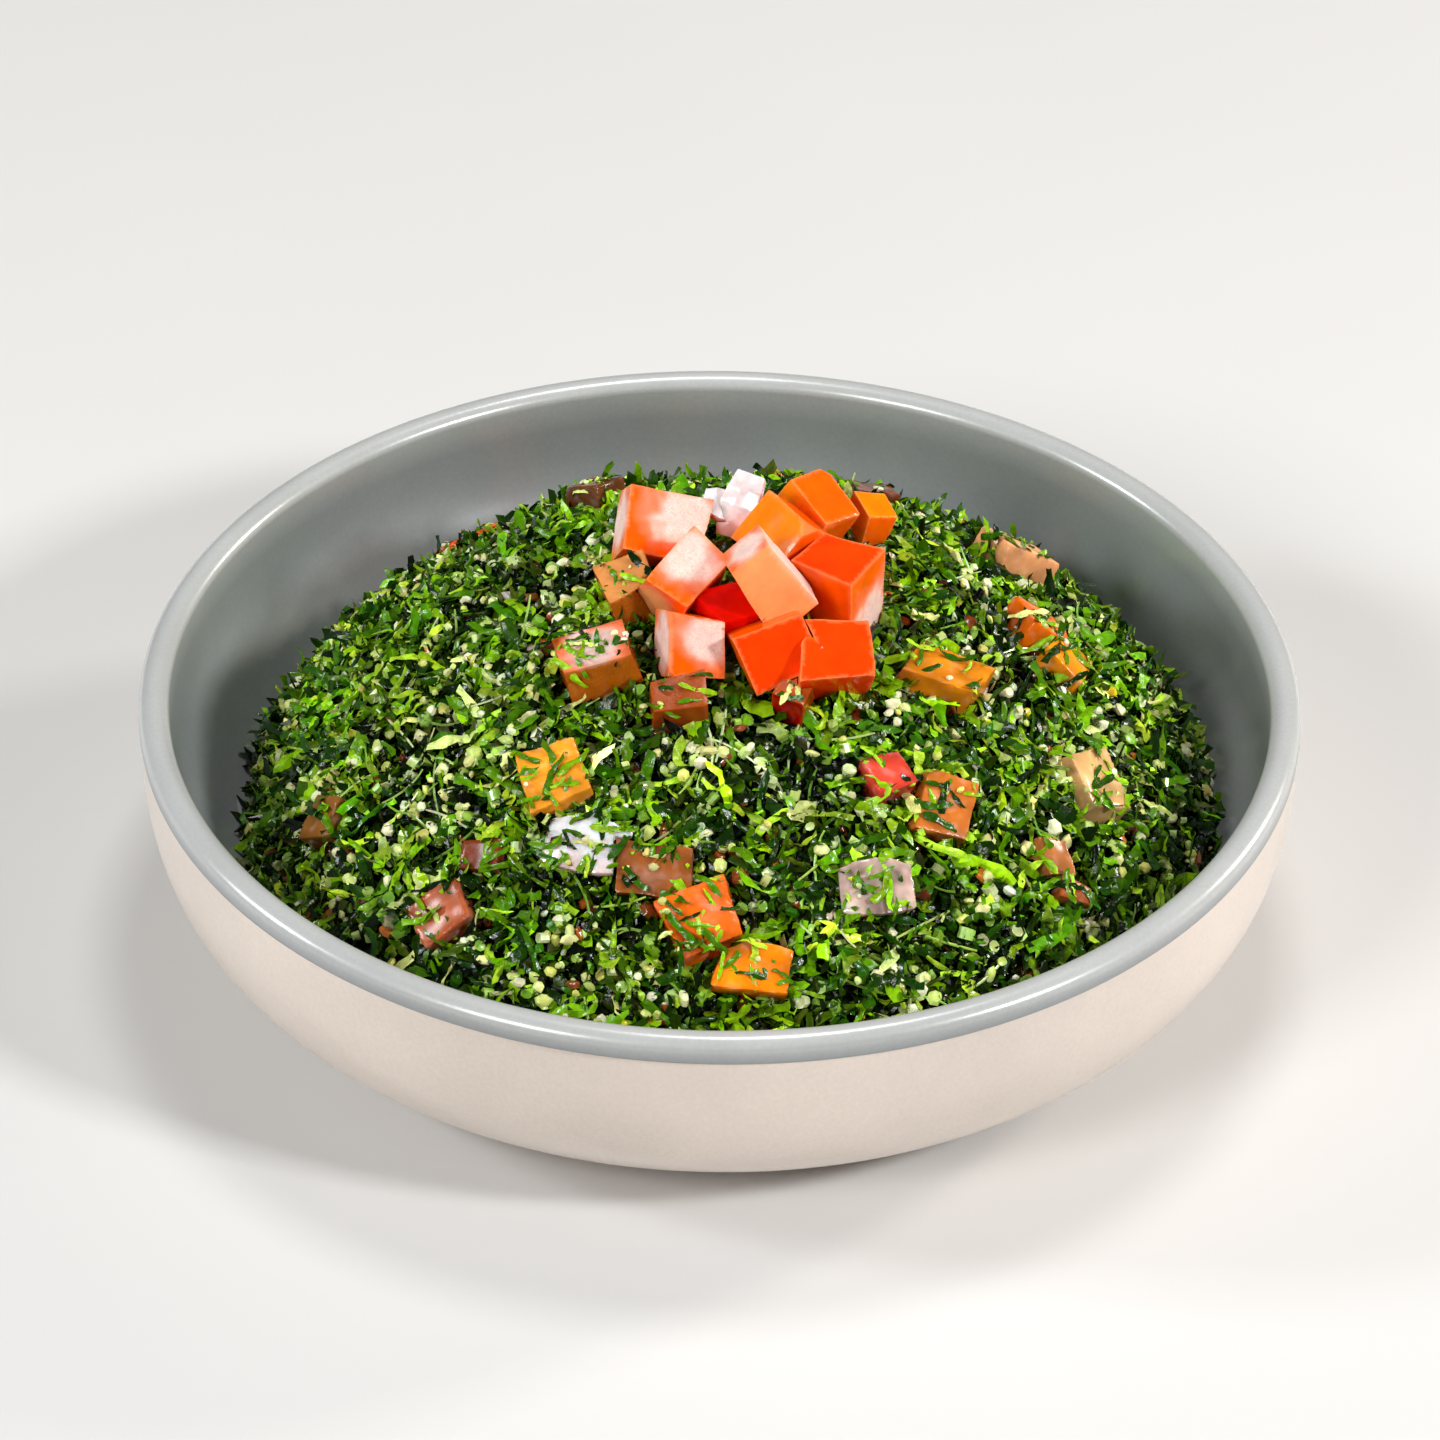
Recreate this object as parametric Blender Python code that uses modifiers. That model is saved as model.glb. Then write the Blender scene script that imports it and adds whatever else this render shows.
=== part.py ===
"""Tabbouleh heaped in a shallow stoneware bowl, with hand-cut tomato and onion on top.

The bowl is one turned solid that stands on its foot ring, with the foot at z = 0 and its axis
on Z.  The salad is one solid heap that lies against the inside of the bowl.  Each piece of
tomato and onion is a solid of its own.  What lies lower is cut back where another piece presses
into it, so that a thin gap of air is left all round.
"""

import math
import random

import bmesh
import bpy
from mathutils import Euler, Matrix, Vector, noise

MM = 0.001
NAME = "tabbouleh_salad"

# Turned pieces
SEGMENTS = 60                   # facets round the bowl and the heap
GAP = 0.3 * MM                  # air between pieces that touch

# Bowl: a round-sided dish with a thick rolled lip and a low foot ring
LIP_RADIUS = 90.4 * MM          # outside of the lip
LIP_THICKNESS = 4.8 * MM
LIP_BASE = 39.5 * MM            # where the inner wall passes into the roll of the lip
LIP_ROLL = 2.0 * MM             # height of that roll
LIP_STEPS = 4
WALL_TOP = 37.6 * MM            # where the outer wall starts to curve in
WALL_BOTTOM = 2.1 * MM          # where it has turned level, above the foot ring
WALL_FOOT_RADIUS = 57.6 * MM
FLOOR_RADIUS = 52.0 * MM        # flat part of the inside
FLOOR_HEIGHT = 6.5 * MM
FOOT_RADIUS = 56.0 * MM         # foot ring, outside
FOOT_WIDTH = 4.5 * MM
FOOT_RECESS = 2.0 * MM          # how far the underside lies above the table
FOOT_DRAFT = 1.0 * MM           # how far the ring's sides lean out
WALL_STEPS = 7
INNER_TURN = 3.3                # how late the inner wall turns in on its way down
OUTER_TURN = 2.9                # the same for the outer wall
WALL_ROUNDNESS = 2.05           # 2 is an ellipse, more is squarer

# Heap of salad
HEAP_EDGE = 15.0 * MM           # mean height at which the salad meets the wall
HEAP_TILT = 1.8 * MM            # how much higher that is at +X, and lower at -X
HEAP_WAVE = 0.6 * MM            # and how much it wanders in between
HEAP_RISE = 45.8 * MM           # from that edge to the crown
HEAP_FULLNESS = 0.73            # 1 is a parabola, 0.5 an ellipse
CROWN_BACK = 7.5 * MM           # how far the crown lies behind the bowl's axis
LUMP_HEIGHT = 1.3 * MM
LUMP_PITCH = 15.0 * MM
SMALL_LUMP = 0.4                # finer lumps, as a share of the height and of the pitch
HEAP_STEPS = 15

# Pieces
KNIFE_EDGE = 0.6 * MM           # rounding of a cut edge
UNEVEN = 0.08                   # how far a face lies off its nominal size
OFF_SQUARE = 0.13               # how far a face leans, as a slope
CORNER_LEFT = 0.72              # where the lost corner is cut, in edges from the middle
ONION_THICKNESS = 1.5 * MM
ONION_ARCH = 1.2 * MM           # how far an onion layer bows

# Tomato piled on the crown, the highest first:
# centre and edges in mm, turns about X, Y and Z in degrees
PILED_TOMATO = (
    ((7, -10, 68), (13, 8, 8), (61, 51, -13)),
    ((18, -3, 62), (11, 10, 13), (4, -4, -35)),
    ((8, -18, 61), (11, 9, 9), (59, -12, 18)),
    ((17, -19, 60), (10, 10, 9), (32, 0, 5)),
    ((-5, -16, 60), (8, 9, 9), (59, 12, 13)),
    ((-6, -4, 64), (8, 12, 9), (19, 30, -30)),
    ((-10, 9, 64), (11, 11, 9), (43, 19, 6)),
    ((10, 6, 65), (11, 9, 9), (43, 5, -51)),
    ((14, 16, 63), (10, 9, 8), (-22, 24, -47)),
    ((-19, -18, 58), (11, 8, 7), (8, -20, 10)),
    ((-14, -3, 61), (8, 8, 7), (0, -15, 15)),
    ((2, -10, 61), (9, 8, 8), (10, 5, 25)),
    ((23, 21, 59), (5, 6, 5), (10, 15, 30)),
    ((11, -25, 57), (5, 5, 5), (15, 5, -20)),
    ((-6, -26, 56), (8, 6, 6), (20, -5, 10)),
)

# Onion on the crown: centre, length and width in mm, turns in degrees
PILED_ONION = (
    ((-1, 13, 66), (5, 5), (34, 35, 9)),
    ((3, 12, 67), (10, 6), (10, -57, 56)),
)

# Pieces half sunk in the heap: share of the way from crown to edge, bearing in degrees, edges
# in mm, how far the piece stands out of the salad in mm, and its turn on the slope in degrees
SUNK_TOMATO = (
    (0.59, -123, (9, 10, 8), 2.0, 15),
    (0.48, -27, (12, 9, 8), 2.0, -20),
    (0.69, 32, (11, 9, 9), 2.0, 30),
    (0.62, 5, (8, 9, 7), 1.8, 10),
    (0.67, -3, (7, 8, 7), 2.0, -25),
    (0.76, -92, (11, 10, 8), 2.0, 20),
    (0.83, -85, (11, 8, 6), 1.5, -10),
    (0.58, -56, (7, 7, 6), 1.5, 35),
    (0.66, -49, (9, 10, 6), 1.5, 0),
    (0.78, -21, (10, 11, 7), 1.5, 40),
    (0.84, -130, (9, 8, 6), 1.2, 15),
    (0.86, -159, (6, 7, 6), 1.2, -30),
    (0.69, -100, (11, 8, 6), 1.2, -5),
    (0.81, -37, (5, 6, 5), 1.2, 25),
    (0.86, -38, (6, 4, 4), 1.2, 5),
    (0.49, 122, (6, 7, 6), 2.0, 45),
    (0.75, -128, (6, 5, 5), 1.2, -15),
    (0.80, 82, (9, 9, 8), 1.0, 20),
    (0.80, 108, (10, 9, 7), 1.0, -35),
    (0.58, 60, (9, 8, 7), 1.0, 10),
    (0.88, 128, (9, 8, 7), 1.0, 30),
    (0.90, 55, (8, 7, 6), 1.0, -20),
    (0.92, 110, (7, 7, 6), 1.0, 5),
    (0.91, 94, (8, 6, 6), 1.0, -10),
)
SUNK_ONION = (
    (0.74, -66, (11, 9), 0.9, 10),
    (0.67, -112, (13, 9), 0.9, -20),
    (0.84, 70, (10, 8), 0.6, 35),
)


def new_material(name, colour, roughness):
    material = bpy.data.materials.new(name)
    material.use_nodes = True
    shader = material.node_tree.nodes["Principled BSDF"]
    shader.inputs["Base Color"].default_value = (*colour, 1.0)
    shader.inputs["Roughness"].default_value = roughness
    shader.inputs["Metallic"].default_value = 0.0
    return material


def add_object(name, mesh, material, collection):
    piece = bpy.data.objects.new(name, mesh)
    if material is not None:
        mesh.materials.append(material)
    collection.objects.link(piece)
    return piece


def mesh_from(name, bm):
    mesh = bpy.data.meshes.new(name)
    bm.to_mesh(mesh)
    bm.free()
    return mesh


def triangulate(mesh):
    """Split faces that are not flat, so that a Boolean cuts them cleanly."""
    bm = bmesh.new()
    bm.from_mesh(mesh)
    bmesh.ops.triangulate(bm, faces=bm.faces)
    bm.to_mesh(mesh)
    bm.free()


# ---------------------------------------------------------------- turned outlines

def curve_wall(top, bottom, foot_radius, top_radius, turn):
    """Points down a wall that is upright at its top and turns level at its foot."""
    points = []
    for step in range(WALL_STEPS + 1):
        angle = math.pi / 2 * step / WALL_STEPS
        drop = math.sin(angle) ** (2 / turn)
        reach = max(0.0, math.cos(angle)) ** (2 / WALL_ROUNDNESS)
        radius = foot_radius + (top_radius - foot_radius) * reach
        points.append((radius, top + (bottom - top) * drop))
    return points


def inner_wall():
    top_radius = LIP_RADIUS - LIP_THICKNESS
    return curve_wall(LIP_BASE, FLOOR_HEIGHT, FLOOR_RADIUS, top_radius, INNER_TURN)


def outer_wall():
    return curve_wall(WALL_TOP, WALL_BOTTOM, WALL_FOOT_RADIUS, LIP_RADIUS, OUTER_TURN)


def lip_roll():
    """Half an ellipse over the lip, from the inner wall to the outside."""
    centre = LIP_RADIUS - LIP_THICKNESS / 2
    points = []
    for step in range(1, LIP_STEPS + 1):
        angle = math.pi * (1 - step / LIP_STEPS)
        radius = centre + LIP_THICKNESS / 2 * math.cos(angle)
        points.append((radius, LIP_BASE + LIP_ROLL * math.sin(angle)))
    return points


def wall_radius(height):
    """Radius of the inside of the bowl at one height, read off the same facets."""
    wall = inner_wall()
    for (upper_radius, upper), (lower_radius, lower) in zip(wall, wall[1:]):
        if lower <= height <= upper:
            share = (upper - height) / (upper - lower)
            return upper_radius + (lower_radius - upper_radius) * share
    return wall[0][0] if height > wall[0][1] else wall[-1][0]


def turned(name, points, material, collection):
    """A profile in the XZ plane turned once round Z."""
    bm = bmesh.new()
    corners = [bm.verts.new((radius, 0.0, height)) for radius, height in points]
    for start, end in zip(corners, corners[1:]):
        bm.edges.new((start, end))
    piece = add_object(name, mesh_from(name, bm), material, collection)
    screw = piece.modifiers.new("Screw", "SCREW")
    screw.axis = "Z"
    screw.angle = 2 * math.pi
    screw.steps = SEGMENTS
    screw.render_steps = SEGMENTS
    screw.use_merge_vertices = True
    screw.merge_threshold = 0.00001
    screw.use_smooth_shade = True
    return piece


# ---------------------------------------------------------------- bowl

def add_bowl(collection):
    """Floor and inner wall, over the lip, down the outside to the foot ring and its recess."""
    foot_inside = FOOT_RADIUS - FOOT_WIDTH
    foot_middle = WALL_BOTTOM * 0.75
    points = [(0.0, FLOOR_HEIGHT)]
    points += reversed(inner_wall())
    points += lip_roll()
    points += outer_wall()
    points += [
        (FOOT_RADIUS + FOOT_DRAFT / 2, foot_middle),
        (FOOT_RADIUS, 0.0),
        (foot_inside, 0.0),
        (foot_inside - FOOT_DRAFT, FOOT_RECESS),
        (0.0, FOOT_RECESS),
    ]
    stoneware = new_material("stoneware", (0.72, 0.65, 0.56), 0.35)
    return turned("bowl", points, stoneware, collection)


# ---------------------------------------------------------------- heap of salad

def heap_point(share, bearing):
    """Point on the salad: share runs from 0 at the crown to 1 at the edge against the wall."""
    edge = HEAP_EDGE + HEAP_TILT * math.cos(bearing) + HEAP_WAVE * math.sin(3 * bearing)
    radius = share * (wall_radius(edge) - GAP)
    x = radius * math.cos(bearing)
    y = radius * math.sin(bearing) + CROWN_BACK * (1 - share)
    rise = HEAP_EDGE + HEAP_RISE - edge
    z = edge + rise * max(0.0, 1 - share * share) ** HEAP_FULLNESS
    lump = noise.noise(Vector((x, y, 0.0)) / LUMP_PITCH)
    lump += SMALL_LUMP * noise.noise(Vector((x, y, LUMP_PITCH)) / (SMALL_LUMP * LUMP_PITCH))
    flat_at_edge = min(1.0, 5 * (1 - share))
    z += LUMP_HEIGHT * lump * flat_at_edge
    return Vector((x, y, z))


def heap_normal(share, bearing):
    here = heap_point(share, bearing)
    outward = heap_point(share + 0.02, bearing) - here
    around = heap_point(share, bearing + 0.02 / share) - here
    return outward.cross(around).normalized()


def add_heap(collection):
    """A dome turned from its profile, then shifted and lumped to the true surface."""
    edge_radius = wall_radius(HEAP_EDGE) - GAP
    points = []
    for step in range(HEAP_STEPS + 1):
        share = step / HEAP_STEPS
        height = HEAP_EDGE + HEAP_RISE * (1 - share * share) ** HEAP_FULLNESS
        points.append((edge_radius * share, height))
    for radius, height in inner_wall():
        if height < HEAP_EDGE - HEAP_TILT - HEAP_WAVE:
            points.append((radius - GAP, height + GAP))
    points.append((0.0, FLOOR_HEIGHT + GAP))
    blank = turned("salad", points, new_material("salad", (0.10, 0.14, 0.02), 0.6), collection)

    evaluated = blank.evaluated_get(bpy.context.evaluated_depsgraph_get())
    mesh = bpy.data.meshes.new_from_object(evaluated)
    blank.modifiers.clear()
    blank.data = mesh
    for vertex in mesh.vertices:
        x, y, z = vertex.co
        if z > HEAP_EDGE - GAP / 2:
            share = min(1.0, math.hypot(x, y) / edge_radius)
            vertex.co = heap_point(share, math.atan2(y, x))
    triangulate(mesh)
    return blank


# ---------------------------------------------------------------- tomato and onion

def knife_stroke(bm, normal, distance):
    """Slice off all that lies beyond a plane, and close the cut."""
    normal = Vector(normal).normalized()
    whole = bm.verts[:] + bm.edges[:] + bm.faces[:]
    cut = bmesh.ops.bisect_plane(
        bm, geom=whole, plane_co=normal * distance, plane_no=normal, clear_outer=True)
    rim = [part for part in cut["geom_cut"] if isinstance(part, bmesh.types.BMEdge)]
    bmesh.ops.edgenet_fill(bm, edges=rim)


def block_mesh(name, seed, edges, grow=0.0):
    """A hand-cut block: each face is one stroke, a little off square, and a corner is lost."""
    chance = random.Random(seed)
    bm = bmesh.new()
    bmesh.ops.create_cube(bm, size=4 * max(edges) * MM)
    for axis in range(3):
        for side in (-1, 1):
            normal = [chance.uniform(-OFF_SQUARE, OFF_SQUARE) for _ in range(3)]
            normal[axis] = side
            distance = edges[axis] / 2 * MM * chance.uniform(1 - UNEVEN, 1 + UNEVEN)
            knife_stroke(bm, normal, distance + grow)
    corner = [chance.choice((-1, 1)) for _ in range(3)]
    knife_stroke(bm, corner, CORNER_LEFT * sum(edges) / 3 * MM + grow)
    bmesh.ops.recalc_face_normals(bm, faces=bm.faces)
    return mesh_from(name, bm)


def layer_mesh(name, length, width):
    """The middle surface of a bowed slip of onion."""
    bm = bmesh.new()
    bmesh.ops.create_grid(bm, x_segments=4, y_segments=1, size=0.5)
    for vertex in bm.verts:
        along = 2 * vertex.co.x
        vertex.co.x *= length
        vertex.co.y *= width * (1 - 0.25 * along * along)
        vertex.co.z = ONION_ARCH * (1 - along * along)
    return mesh_from(name, bm)


def add_tomato(name, edges, matrix, material, collection, cutters):
    """A piece with soft edges, and a cutter a little larger that makes room for it."""
    piece = add_object(name, block_mesh(name, name, edges), material, collection)
    bevel = piece.modifiers.new("Knife edges", "BEVEL")
    bevel.width = KNIFE_EDGE
    bevel.segments = 1
    bevel.limit_method = "ANGLE"

    room = block_mesh("room_" + name, name, edges, grow=GAP)
    cutter = add_object("room_" + name, room, None, cutters)
    return finish_piece(piece, cutter, matrix)


def add_onion(name, size, matrix, material, collection, cutters):
    """A slip of onion layer, and a cutter a little larger that makes room for it."""
    length, width = size[0] * MM, size[1] * MM
    piece = add_object(name, layer_mesh(name, length, width), material, collection)
    room = layer_mesh("room_" + name, length + 2 * GAP, width + 2 * GAP)
    cutter = add_object("room_" + name, room, None, cutters)
    for layer, thickness in ((piece, ONION_THICKNESS), (cutter, ONION_THICKNESS + 2 * GAP)):
        solidify = layer.modifiers.new("Thickness", "SOLIDIFY")
        solidify.thickness = thickness
        solidify.offset = 0.0
    return finish_piece(piece, cutter, matrix)


def finish_piece(piece, cutter, matrix):
    piece.matrix_world = matrix
    cutter.matrix_world = matrix
    cutter.hide_render = True
    cutter.display_type = "WIRE"
    return piece, cutter


def free_matrix(centre, turn):
    """Where a piece lies on the pile."""
    angles = Euler([math.radians(angle) for angle in turn])
    return Matrix.Translation(Vector(centre) * MM) @ angles.to_matrix().to_4x4()


def slope_matrix(share, bearing, stand_out, height, turn):
    """Where a piece is bedded in the heap, its last edge along the slope's normal."""
    bearing = math.radians(bearing)
    normal = heap_normal(share, bearing)
    centre = heap_point(share, bearing) + normal * (stand_out - height / 2) * MM
    lie = Vector((0, 0, 1)).rotation_difference(normal).to_matrix().to_4x4()
    return Matrix.Translation(centre) @ lie @ Matrix.Rotation(math.radians(turn), 4, "Z")


def cut_away(piece, cutter):
    cut = piece.modifiers.new(cutter.name, "BOOLEAN")
    cut.operation = "DIFFERENCE"
    cut.solver = "EXACT"
    cut.object = cutter


def make_room(piece, cutters):
    """Cut the piece back by each cutter that comes near it."""
    for cutter in cutters:
        apart = piece.matrix_world.translation - cutter.matrix_world.translation
        if apart.length < piece.dimensions.length / 2 + cutter.dimensions.length / 2:
            cut_away(piece, cutter)


def add_pieces(collection, cutters):
    """All the loose pieces, each later one making room for the ones before it."""
    flesh = new_material("tomato", (0.85, 0.13, 0.02), 0.3)
    layer = new_material("onion", (0.80, 0.74, 0.66), 0.3)
    placed = []

    def put(add, name, size, matrix, material):
        piece, cutter = add(name, size, matrix, material, collection, cutters)
        bpy.context.view_layer.update()
        make_room(piece, [other for _, other in placed])
        placed.append((piece, cutter))

    for number, (centre, edges, turn) in enumerate(PILED_TOMATO, 1):
        put(add_tomato, f"tomato_pile_{number:02d}", edges, free_matrix(centre, turn), flesh)
    for number, (centre, size, turn) in enumerate(PILED_ONION, 1):
        put(add_onion, f"onion_pile_{number:02d}", size, free_matrix(centre, turn), layer)
    for number, (share, bearing, edges, stand_out, turn) in enumerate(SUNK_TOMATO, 1):
        matrix = slope_matrix(share, bearing, stand_out, edges[2], turn)
        put(add_tomato, f"tomato_sunk_{number:02d}", edges, matrix, flesh)
    for number, (share, bearing, size, stand_out, turn) in enumerate(SUNK_ONION, 1):
        matrix = slope_matrix(share, bearing, stand_out, ONION_THICKNESS / MM, turn)
        put(add_onion, f"onion_sunk_{number:02d}", size, matrix, layer)
    return [cutter for _, cutter in placed]


def main():
    for old in list(bpy.data.objects):
        bpy.data.objects.remove(old, do_unlink=True)
    collection = bpy.data.collections.new(NAME)
    cutters = bpy.data.collections.new("cutters")
    bpy.context.scene.collection.children.link(collection)
    bpy.context.scene.collection.children.link(cutters)

    add_bowl(collection)
    heap = add_heap(collection)
    for cutter in add_pieces(collection, cutters):
        cut_away(heap, cutter)


main()
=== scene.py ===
import math

import bpy
import numpy as np
from mathutils import Matrix, Vector, noise
from mathutils.bvhtree import BVHTree


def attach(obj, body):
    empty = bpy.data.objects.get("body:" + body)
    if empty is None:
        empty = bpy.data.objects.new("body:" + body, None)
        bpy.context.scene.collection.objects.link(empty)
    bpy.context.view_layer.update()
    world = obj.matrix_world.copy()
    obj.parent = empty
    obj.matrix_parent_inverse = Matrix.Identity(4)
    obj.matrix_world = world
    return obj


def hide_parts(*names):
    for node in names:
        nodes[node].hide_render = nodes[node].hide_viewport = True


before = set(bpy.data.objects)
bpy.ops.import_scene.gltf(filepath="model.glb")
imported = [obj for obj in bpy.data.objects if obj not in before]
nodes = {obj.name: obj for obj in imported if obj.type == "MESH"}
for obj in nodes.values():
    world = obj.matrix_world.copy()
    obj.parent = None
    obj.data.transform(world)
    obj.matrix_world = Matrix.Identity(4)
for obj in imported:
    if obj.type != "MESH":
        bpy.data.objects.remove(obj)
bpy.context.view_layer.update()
MM = 0.001


# ---------------------------------------------------------------- the bowl
# A round dish of stoneware, thrown on a wheel: thick rolled lip, deep curved wall, low foot ring.
# Grey satin glaze covers the inside and is dipped over the lip; it ends in a crisp line, and
# below it a warm cream glaze runs down to the foot ring, which is wiped bare.

BOWL_SEGMENTS = 224
LIP_OUTSIDE, LIP_INSIDE = 90.35 * MM, 85.6 * MM
LIP_BASE, LIP_TOP = 39.5 * MM, 41.5 * MM
GLAZE_LINE = 37.6 * MM              # where the grey glaze ends on the outside
GLAZE_EDGE = 0.28 * MM              # thickness of the grey glaze at that line
FLOOR_INSIDE, FLOOR_HEIGHT = 52.0 * MM, 6.5 * MM
WALL_FOOT, WALL_BOTTOM = 57.6 * MM, 2.1 * MM
FOOT_OUTSIDE, FOOT_INSIDE, FOOT_RECESS = 56.2 * MM, 51.4 * MM, 2.0 * MM
BELLY_TOP, BELLY_FADE = 29 * MM, 12 * MM    # below here the inner wall is drawn in, by degrees
DRAWN_IN = 2.2 * MM
GREY_GLAZE = (0.25, 0.265, 0.27)
LIP_GLAZE_LIT = (0.46, 0.47, 0.46)     # painted light: paler over the lip, for the light it catches from above
CREAM_GLAZE = (0.68, 0.585, 0.51)
BARE_CLAY = (0.46, 0.35, 0.25)


def select_nothing():
    if bpy.context.mode != "OBJECT":
        bpy.ops.object.mode_set(mode="OBJECT")
    bpy.ops.object.select_all(action="DESELECT")


def turned(name, profile, segments):
    """Spins a line of (radius, height) points about the upright axis into a round piece."""
    select_nothing()
    bpy.ops.mesh.primitive_plane_add(size=1 * MM, location=(0, 0, 0))
    piece = bpy.context.object
    piece.name = name
    bpy.ops.object.mode_set(mode="EDIT")
    bpy.ops.mesh.merge(type="CENTER")
    bpy.ops.transform.translate(value=(profile[0][0], 0, profile[0][1]))
    for (radius, height), (next_radius, next_height) in zip(profile, profile[1:]):
        step = (next_radius - radius, 0, next_height - height)
        bpy.ops.mesh.extrude_region_move(TRANSFORM_OT_translate={"value": step})
    bpy.ops.mesh.select_all(action="SELECT")
    bpy.ops.mesh.spin(steps=segments, angle=2 * math.pi, center=(0, 0, 0), axis=(0, 0, 1))
    bpy.ops.mesh.select_all(action="SELECT")
    bpy.ops.mesh.remove_doubles(threshold=1e-6)
    bpy.ops.mesh.normals_make_consistent(inside=False)
    bpy.ops.object.mode_set(mode="OBJECT")
    return piece


def wall_line(top, bottom, foot_radius, top_radius, turn, steps):
    """Points down a wall that is upright at its top and turns level at its foot."""
    points = []
    for step in range(steps + 1):
        angle = math.pi / 2 * step / steps
        reach = max(0.0, math.cos(angle)) ** (2 / 2.05)
        drop = math.sin(angle) ** (2 / turn)
        points.append((foot_radius + (top_radius - foot_radius) * reach, top + (bottom - top) * drop))
    return points


def corners_of(mesh):
    places = np.empty(len(mesh.vertices) * 3, dtype=np.float32)
    mesh.vertices.foreach_get("co", places)
    return places.reshape(-1, 3).astype(float)


def write_mask(mesh, name, values):
    mask = mesh.attributes.new(name, "FLOAT", "POINT")
    mask.data.foreach_set("value", np.asarray(values, dtype=np.float32))


def new_material(name, roughness, **sockets):
    """A material with one Principled shader; sockets are constants set on the shader itself."""
    material = bpy.data.materials.new(name)
    material.use_nodes = True
    shader = material.node_tree.nodes["Principled BSDF"]
    shader.inputs["Roughness"].default_value = roughness
    for socket, value in sockets.items():
        shader.inputs[socket.replace("_", " ")].default_value = value
    return material, material.node_tree.nodes, material.node_tree.links, shader


# Shared effect: a cloudy change of tone that also stands up a little, as in any handmade or
# grown surface. Amount is how far the tone strays from the colour that goes in.
mottle = bpy.data.node_groups.new("mottle", "ShaderNodeTree")
for socket, kind, start in (("Vector", "Vector", None), ("Color", "Color", None), ("Scale", "Float", 100.0),
                            ("Amount", "Float", 0.2), ("Detail", "Float", 3.0)):
    made = mottle.interface.new_socket(socket, in_out="INPUT", socket_type="NodeSocket" + kind)
    if start is not None:
        made.default_value = start
mottle.interface.new_socket("Color", in_out="OUTPUT", socket_type="NodeSocketColor")
mottle.interface.new_socket("Height", in_out="OUTPUT", socket_type="NodeSocketFloat")
inside = mottle.nodes.new("NodeGroupInput")
outside = mottle.nodes.new("NodeGroupOutput")
cloud = mottle.nodes.new("ShaderNodeTexNoise")
cloud.inputs["Roughness"].default_value = 0.6
spread = mottle.nodes.new("ShaderNodeMapRange")
spread.inputs["From Min"].default_value = 0.28
spread.inputs["From Max"].default_value = 0.72
spread.inputs["To Min"].default_value = -1.0
swing = mottle.nodes.new("ShaderNodeMath")
swing.operation = "MULTIPLY_ADD"
swing.inputs[2].default_value = 1.0
paint = mottle.nodes.new("ShaderNodeVectorMath")
paint.operation = "SCALE"
for source, target in ((inside.outputs["Vector"], cloud.inputs["Vector"]),
                       (inside.outputs["Scale"], cloud.inputs["Scale"]),
                       (inside.outputs["Detail"], cloud.inputs["Detail"]),
                       (cloud.outputs["Fac"], spread.inputs["Value"]),
                       (spread.outputs["Result"], swing.inputs[0]),
                       (inside.outputs["Amount"], swing.inputs[1]),
                       (inside.outputs["Color"], paint.inputs[0]),
                       (swing.outputs["Value"], paint.inputs["Scale"]),
                       (paint.outputs["Vector"], outside.inputs["Color"]),
                       (cloud.outputs["Fac"], outside.inputs["Height"])):
    mottle.links.new(source, target)


def add_mottle(material, color_source, vector_source, scale, amount, detail=3.0):
    group = material.node_tree.nodes.new("ShaderNodeGroup")
    group.node_tree = mottle
    group.inputs["Scale"].default_value = scale
    group.inputs["Amount"].default_value = amount
    group.inputs["Detail"].default_value = detail
    material.node_tree.links.new(vector_source, group.inputs["Vector"])
    if isinstance(color_source, tuple):
        group.inputs["Color"].default_value = (*color_source, 1)
    else:
        material.node_tree.links.new(color_source, group.inputs["Color"])
    return group


def add_bump(material, shader, height, strength, distance):
    bump = material.node_tree.nodes.new("ShaderNodeBump")
    bump.inputs["Strength"].default_value = strength
    bump.inputs["Distance"].default_value = distance
    material.node_tree.links.new(height, bump.inputs["Height"])
    material.node_tree.links.new(bump.outputs["Normal"], shader.inputs["Normal"])
    return bump


lip_middle, lip_half = (LIP_OUTSIDE + LIP_INSIDE) / 2, (LIP_OUTSIDE - LIP_INSIDE) / 2
inner_wall = []                     # as thrown, then drawn in a little from the belly down
for radius, height in wall_line(LIP_BASE, FLOOR_HEIGHT, FLOOR_INSIDE, LIP_INSIDE, 3.3, 34):
    drawn = min(1.0, max(0.0, (BELLY_TOP - height) / BELLY_FADE))
    drawn = drawn * drawn * (3 - 2 * drawn) * min(1.0, (height - FLOOR_HEIGHT) / (3 * MM))
    inner_wall.append((radius - DRAWN_IN * drawn, height))
wall_radii, wall_heights = zip(*reversed(inner_wall))


def wall_radius(height):
    """How far the inner wall stands from the middle at a height."""
    return np.interp(height, wall_heights, wall_radii)


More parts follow.
